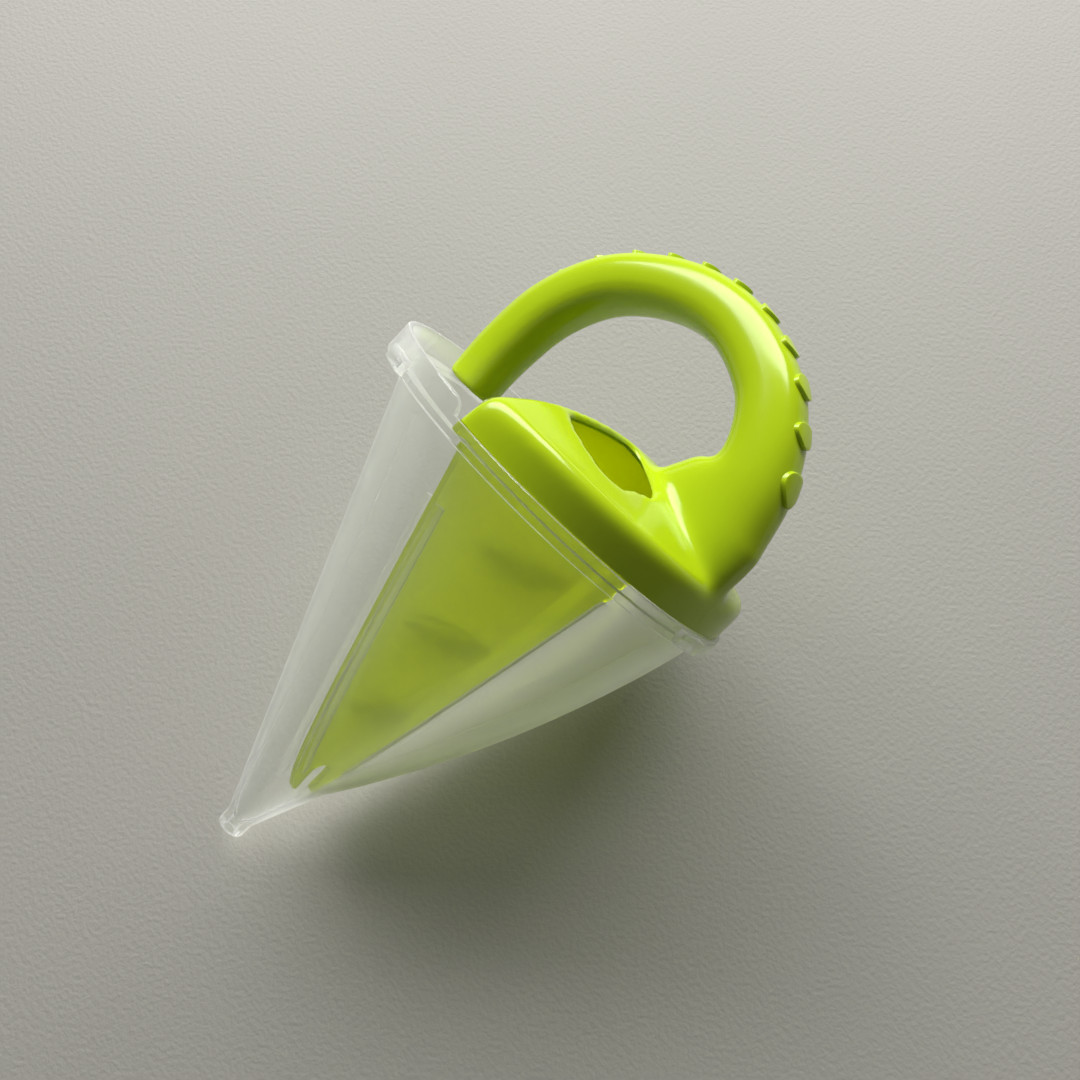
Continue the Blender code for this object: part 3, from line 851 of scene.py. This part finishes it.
def lid_solid(sizes, insert):
    """The lid as a full solid, cut off at the divider's sand side."""
    top = sizes.cone_height
    reach = sizes.collar_radius
    line = lid_profile(insert, insert.gap)
    profile = [(r, top + z) for r, z in reversed(line)] + [(0.0, top + insert.gap)]
    lid = held("lid", turned(profile, LID_STEPS))
    sand_side = block("sand_side", (-reach, -reach, 0.0), (insert.plate_front, reach, 2 * top))
    return carve(lid, sand_side, "DIFFERENCE")


def handle_solid(sizes, insert):
    """The handle as a full solid that clears the inside of the collar's lip."""
    top = sizes.cone_height
    inner = sizes.collar_radius - sizes.collar_wall - insert.slide_gap
    lip_bore = [(0.0, 2 * top), (inner, 2 * top), (inner, top), (0.0, top)]
    return carve(held("handle", arch_body()), held("lip_bore", turned(lip_bore, LID_STEPS)), "INTERSECT")


def blended_body(sizes, insert):
    """Lid and handle as one solid with a fillet where they meet and rounded ends."""
    top = sizes.cone_height
    front = insert.plate_front
    lid = lid_solid(sizes, insert)
    handle = handle_solid(sizes, insert)
    skins = [skin_of(lid), skin_of(handle)]
    body = settle_grain(join(lid, handle), insert)

    bm = loaded(body)
    apart = {v: max(skin.find_nearest(v.co)[3] for skin in skins) for v in bm.verts}
    for share, turns in FILLET_TURNS:
        smooth(bm, [v for v, d in apart.items() if d < share * insert.fillet], turns)
    low = top + insert.skirt_top / 2
    high = top + insert.crown_height + insert.corner
    corner = [v for v in bm.verts if 0.0 < v.co.x < front + insert.corner and low < v.co.z < high]
    smooth(bm, corner, CORNER_TURNS)
    chord = math.sqrt(insert.shoulder_radius ** 2 - front ** 2)
    ends = [Vector((front, y, top + insert.shoulder_height)) for y in (chord, -chord)]
    hollow = Vector((insert.saddle_x, 0.0, top + dome_height(insert, insert.saddle_x)))
    for point, reach in ((ends[0], insert.end_round), (ends[1], insert.end_round), (hollow, insert.saddle)):
        for share, turns in ROUND_TURNS:
            smooth(bm, [v for v in bm.verts if (v.co - point).length < share * reach], turns)
    return stored(bm, body)


def open_hole(sizes, insert, body):
    """Cuts the lid's hole and rounds its edge."""
    carve(body, hole_cutter(sizes), "DIFFERENCE")
    settle_grain(body, insert)
    outline = hole_outline()
    edge = KDTree(len(outline))
    for i, (x, y) in enumerate(outline):
        edge.insert((x, y, sizes.cone_height + dome_height(insert, math.hypot(x, y))), i)
    edge.balance()
    bm = loaded(body)
    smooth(bm, [v for v in bm.verts if edge.find(v.co)[2] < insert.hole_round], HOLE_TURNS)
    smooth(bm, bm.verts, SKIN_TURNS)
    return stored(bm, body)


def settle_grain(body, insert):
    """Turns a body of joined skins into one even skin."""
    grain = body.modifiers.new("Grain", "REMESH")
    grain.mode = "VOXEL"
    grain.voxel_size = insert.voxel
    return settle(body)


def under_lid(sizes, insert, wall):
    """The space under the lid that leaves a given wall."""
    top = sizes.cone_height
    inside = []
    for radius, z in reversed(lid_profile(insert, 0.0)):
        inside.append((max(radius - wall, 0.0), top + z - (wall if z > 0.0 else 0.0)))
    inside[0] = (0.0, inside[0][1])
    inside.append((0.0, top))
    return held("cavity", turned(inside, LID_STEPS))


def hollow_body(sizes, insert, body):
    """Cuts the space under the lid, thins the hole's edge, and cuts the lid's foot."""
    top = sizes.cone_height
    reach = sizes.collar_radius
    cavity = under_lid(sizes, insert, insert.shell_wall)
    rear = insert.plate_front - MM
    carve(cavity, block("sand_side", (-reach, -reach, 0.0), (rear, reach, 2 * top)), "DIFFERENCE")
    carve(body, cavity, "DIFFERENCE")
    strip = under_lid(sizes, insert, insert.rim_wall)
    carve(strip, hole_cutter(sizes, insert.rim_reach), "INTERSECT")
    plate = insert.plate_front + insert.plate_thickness + insert.gap
    carve(strip, block("plate_side", (-reach, -reach, 0.0), (plate, reach, 2 * top)), "DIFFERENCE")
    carve(body, strip, "DIFFERENCE")
    foot = top + sizes.rim_height + insert.gap
    return carve(body, block("foot", (-reach / 2, -reach, 0.0), (reach, reach, foot)), "DIFFERENCE")


def finish_halves(whole, insert, plastic, ending):
    """Splits an object along the handle's plane into one piece for each shell."""
    reach = 1.0
    for side, hand in ((-1.0, "left"), (1.0, "right")):
        half = bpy.data.objects.new(hand + ending, whole.data.copy())
        bpy.context.scene.collection.objects.link(half)
        low, high = sorted((side * insert.parting / 2, -side * reach))
        carve(half, block("other_half", (-reach, low, -reach), (reach, high, reach)), "DIFFERENCE")
        finish_piece(half, hand + ending, plastic, "insert", hand + "_shell", 40.0)
    bpy.data.objects.remove(whole)


def make_shells(sizes, insert, plastic):
    """The lid and handle, hollowed and split into two shells."""
    body = open_hole(sizes, insert, blended_body(sizes, insert))
    finish_halves(hollow_body(sizes, insert, body), insert, plastic, "_shell_body")


def scale_pad(insert, share, size):
    """One shield-shaped scale on the spine, round at its upper end and pointed towards the lid."""
    bm = bmesh.new()
    bmesh.ops.create_grid(bm, x_segments=SCALE_GRID, y_segments=SCALE_GRID, size=1.0)
    step = 1.0 / len(ARCH)
    start, _, _, half_width = arch_point(share)
    run = (arch_point(share + step / 2)[0] - arch_point(share - step / 2)[0]).length / step
    half_length = size * insert.scale_length / 2 / run
    half_turn = size * insert.scale_width / 2 / half_width
    upper = set(bm.verts)
    for vert in upper:
        u, v, _ = vert.co
        along = u * math.sqrt(1.0 - v * v / 2)
        across = v * math.sqrt(1.0 - u * u / 2)
        point = max(along, 0.0)
        across *= 1.0 - SCALE_TAPER * point ** 2
        along *= 1.0 + SCALE_POINT * point
        vert.co = arch_surface(share + along * half_length, across * half_turn, insert.scale_rise)
    pushed = bmesh.ops.extrude_face_region(bm, geom=list(bm.faces), use_keep_orig=True)
    lowered = [v for v in pushed["geom"] if isinstance(v, bmesh.types.BMVert)]
    middle = sum((v.co for v in lowered), Vector()) / len(lowered)
    inwards = (start - middle).normalized()
    bmesh.ops.translate(bm, vec=inwards * SCALE_SINK * MM, verts=lowered)
    bmesh.ops.recalc_face_normals(bm, faces=bm.faces)
    rim = [e for e in bm.edges if upper.issuperset(e.verts) and e.calc_face_angle(0.0) > SCALE_RIM_ANGLE]
    soften(bm, rim, SCALE_EDGE)
    return bm


def make_scales(insert, plastic):
    """A row of scales down the spine, small at the far end and large above the lid."""
    row = bmesh.new()
    for i, share in enumerate(arch_places(insert.scale_start, insert.scale_pitch, insert.scale_count)):
        part = i / (insert.scale_count - 1)
        pad = scale_pad(insert, share, SMALLEST_SCALE + (1.0 - SMALLEST_SCALE) * part)
        mesh = bpy.data.meshes.new("pad")
        pad.to_mesh(mesh)
        pad.free()
        row.from_mesh(mesh)
        bpy.data.meshes.remove(mesh)
    finish_halves(held("scales", row), insert, plastic, "_scales")


# Divider

def plate_outline(sizes, insert):
    """Half of the divider's outline, foot to crown, as (y, z) points."""
    rear = insert.plate_front + insert.plate_thickness
    top = sizes.cone_height
    inner = sizes.collar_radius - sizes.collar_wall - insert.slide_gap

    def width(radius):
        return math.sqrt(max(radius ** 2 - rear ** 2, 0.0))

    points = []
    for z in even(insert.plate_foot, top, WALL_STEPS):
        points.append((width(cone_outer(sizes, z) - wall_across(sizes) - insert.slide_gap), z))
    shoulder = top + sizes.ledge + insert.gap
    skirt_foot = sizes.rim_height + insert.gap
    points.append((points[-1][0], shoulder))
    points.append((width(inner), shoulder))
    points.append((width(inner), top + skirt_foot))
    inset = insert.shell_wall + insert.parting
    for radius, z in lid_profile(insert, skirt_foot):
        if radius - inset > rear:
            points.append((width(radius - inset), top + z - (inset if z > skirt_foot else 0.0)))
    return points


def notch_outline(insert):
    """The notch in the plate's foot as (y, z) points, round at its top and open below."""
    half = insert.notch_width / 2
    middle = insert.plate_foot + insert.notch_height - half
    below = insert.plate_foot - MM
    turns = even(0.0, math.pi, NOTCH_STEPS)
    arc = [(half * math.cos(turn), middle + half * math.sin(turn)) for turn in turns]
    return arc + [(-half, below), (half, below)]


def fin(insert, span, height):
    """One lens-shaped fin on the plate's sand side."""
    front = insert.plate_front
    behind = front + insert.plate_thickness / 2
    lens = []
    for y in even(-span / 2, span / 2, FIN_STEPS):
        lens.append((front - insert.fin_depth * math.cos(math.pi * y / span), y))
    lens += [(behind, span / 2), (behind, -span / 2)]
    place = Matrix.Translation((0.0, 0.0, height - insert.fin_thickness / 2))
    return held("fin", prism(lens, insert.fin_thickness, place))


def make_divider(sizes, insert, plastic):
    """The divider plate with its notch and fins."""
    half = plate_outline(sizes, insert)
    outline = [(-y, z) for y, z in half] + [(y, z) for y, z in reversed(half)]
    front = insert.plate_front
    bm = prism(outline, insert.plate_thickness, standing(front))
    crest = sizes.cone_height + insert.skirt_top
    rim = [
        e for e in bm.edges
        if all(v.co.z > crest and abs(v.co.x - front) < 0.01 * MM for v in e.verts)
    ]
    soften(bm, rim, PLATE_EDGE)
    divider = held("divider", bm)
    notch = prism(notch_outline(insert), insert.plate_thickness + 2 * MM, standing(front - MM))
    carve(divider, held("notch", notch), "DIFFERENCE")
    for i, span in enumerate(FIN_SPANS):
        carve(divider, fin(insert, span * MM, insert.fin_start + i * insert.fin_pitch), "UNION")
    return finish_piece(divider, "divider_plate", plastic, "insert", "divider", 30.0)


# Stage

def camera_matrix(sizes):
    """The photograph's camera, upright: over the collar, tilted, rolled, and aimed by the collar's pixel."""
    tilt, roll, turn = (math.radians(a) for a in (CAMERA_TILT, CAMERA_ROLL, CAMERA_TURN))
    near = Vector((math.cos(turn), -math.sin(turn), 0.0))
    right = Vector((math.sin(turn), math.cos(turn), 0.0))
    axis = Vector((0.0, 0.0, 1.0))
    back = math.sin(tilt) * axis + math.cos(tilt) * near
    up = back.cross(right)
    rows = Matrix((
        math.cos(roll) * right + math.sin(roll) * up,
        math.cos(roll) * up - math.sin(roll) * right,
        back,
    ))
    middle = IMAGE_SIZE / 2
    aim = Vector(((COLLAR_PIXEL[0] - middle) / FOCAL_PIXELS, (middle - COLLAR_PIXEL[1]) / FOCAL_PIXELS, -1.0))
    aimed = Vector((0.0, 0.0, -1.0)).rotation_difference(aim).to_matrix() @ rows
    place = Vector((0.0, 0.0, sizes.cone_height)) + CAMERA_DISTANCE * MM * back
    return Matrix.Translation(place) @ aimed.transposed().to_4x4()


def soft_box(name, place, target, size, watts):
    """A rectangular area light aimed at a target."""
    lamp = bpy.data.lights.new(name, "AREA")
    lamp.shape = "RECTANGLE"
    lamp.size, lamp.size_y = size
    lamp.energy = watts
    obj = bpy.data.objects.new(name, lamp)
    bpy.context.scene.collection.objects.link(obj)
    obj.location = place
    obj.rotation_euler = (target - place).to_track_quat("-Z", "Y").to_euler()
    return obj


def make_stage(sizes, finishes):
    """The photograph's camera, a plain table, one soft window and a dim sky."""
    scene = bpy.context.scene
    scene.view_settings.view_transform = "Standard"
    camera_data = bpy.data.cameras.new("camera")
    camera_data.sensor_width = SENSOR
    camera_data.lens = SENSOR * FOCAL_PIXELS / IMAGE_SIZE
    camera_data.clip_start = 10 * MM
    camera = bpy.data.objects.new("camera", camera_data)
    scene.collection.objects.link(camera)
    camera.matrix_world = lay_matrix(sizes) @ camera_matrix(sizes)
    scene.camera = camera

    bm = bmesh.new()
    bmesh.ops.create_grid(bm, x_segments=2, y_segments=2, size=TABLE_HALF)
    bmesh.ops.translate(bm, vec=(0.0, 0.0, cad_box[0][2]), verts=bm.verts)
    table = held("table", bm)
    table.data.materials.append(painted_table(finishes.table))

    turn = camera.matrix_world.to_3x3()
    up = (turn @ Vector((0.0, 1.0, 0.0)) * Vector((1.0, 1.0, 0.0))).normalized()
    right = (turn @ Vector((1.0, 0.0, 0.0)) * Vector((1.0, 1.0, 0.0))).normalized()
    rise = Vector((0.0, 0.0, 1.0))
    target = Vector((0.0, 0.0, LIT_HEIGHT))
    place = target + WINDOW_UP * up + WINDOW_RIGHT * right + WINDOW_RISE * rise
    soft_box("window", place, target, WINDOW_SIZE, WINDOW_WATTS)

    world = bpy.data.worlds.new("studio")
    world.use_nodes = True
    scene.world = world
    sky = world.node_tree.nodes["Background"]
    sky.inputs["Color"].default_value = SKY
    sky.inputs["Strength"].default_value = SKY_STRENGTH


# Operators, panel and registration

class SANDFUNNEL_OT_funnel(Operator):
    """Build the clear funnel with its collar, lip, lugs and guide rails"""
    bl_idname = "sandfunnel.funnel"
    bl_label = "Clear funnel"

    def execute(self, context):
        scene = context.scene
        make_funnel(scene.funnel_sizes, scene.insert_sizes, clear_polystyrene(scene.finishes.clear))
        return {"FINISHED"}


class SANDFUNNEL_OT_divider(Operator):
    """Build the divider plate with its fins and notch"""
    bl_idname = "sandfunnel.divider"
    bl_label = "Divider"

    def execute(self, context):
        scene = context.scene
        lay = lay_matrix(scene.funnel_sizes)
        # Plane beyond which the divider's colour is darkened as painted shade on the fins.
        outwards = lay.to_3x3() @ Vector((-1.0, 0.0, 0.0))
        face = outwards.dot(lay.translation) - scene.insert_sizes.plate_front
        plastic = green_polypropylene(
            "translucent_polypropylene", scene.finishes.plate, depth=2.0, scatter=0.0, roughness=0.12,
            glow=0.3, clarity=0.8, fins=(outwards, face),
        )
        make_divider(scene.funnel_sizes, scene.insert_sizes, plastic)
        return {"FINISHED"}


class SANDFUNNEL_OT_shells(Operator):
    """Build the two halves of the lid and handle, and the scales on the handle's spine"""
    bl_idname = "sandfunnel.shells"
    bl_label = "Lid and handle"

    def execute(self, context):
        scene = context.scene
        plastic = green_polypropylene(
            "glossy_polypropylene", scene.finishes.green, depth=1.5, scatter=0.15, roughness=0.17,
        )
        make_shells(scene.funnel_sizes, scene.insert_sizes, plastic)
        make_scales(scene.insert_sizes, plastic)
        return {"FINISHED"}


class SANDFUNNEL_OT_stage(Operator):
    """Build the table, the lights and the camera"""
    bl_idname = "sandfunnel.stage"
    bl_label = "Stage"

    def execute(self, context):
        make_stage(context.scene.funnel_sizes, context.scene.finishes)
        return {"FINISHED"}


OPERATORS = (SANDFUNNEL_OT_funnel, SANDFUNNEL_OT_divider, SANDFUNNEL_OT_shells, SANDFUNNEL_OT_stage)


class SANDFUNNEL_PT_panel(Panel):
    """Lists the pieces of the sand funnel and their sizes"""
    bl_idname = "SANDFUNNEL_PT_panel"
    bl_label = "Sand funnel"
    bl_space_type = "VIEW_3D"
    bl_region_type = "UI"
    bl_category = "Sand funnel"

    def draw(self, context):
        for operator in OPERATORS:
            self.layout.operator(operator.bl_idname)
        for group in (context.scene.funnel_sizes, context.scene.insert_sizes, context.scene.finishes):
            box = self.layout.box()
            for name in group.__annotations__:
                box.prop(group, name)


GROUPS = (("funnel_sizes", FunnelSizes), ("insert_sizes", InsertSizes), ("finishes", Finishes))


def register():
    for name, group in GROUPS:
        bpy.utils.register_class(group)
        setattr(bpy.types.Scene, name, PointerProperty(type=group))
    for cls in (*OPERATORS, SANDFUNNEL_PT_panel):
        bpy.utils.register_class(cls)


def unregister():
    for cls in (SANDFUNNEL_PT_panel, *reversed(OPERATORS)):
        bpy.utils.unregister_class(cls)
    for name, group in reversed(GROUPS):
        delattr(bpy.types.Scene, name)
        bpy.utils.unregister_class(group)


def main():
    register()
    for operator in OPERATORS:
        family, action = operator.bl_idname.split(".")
        getattr(getattr(bpy.ops, family), action)()


if __name__ == "__main__":
    main()
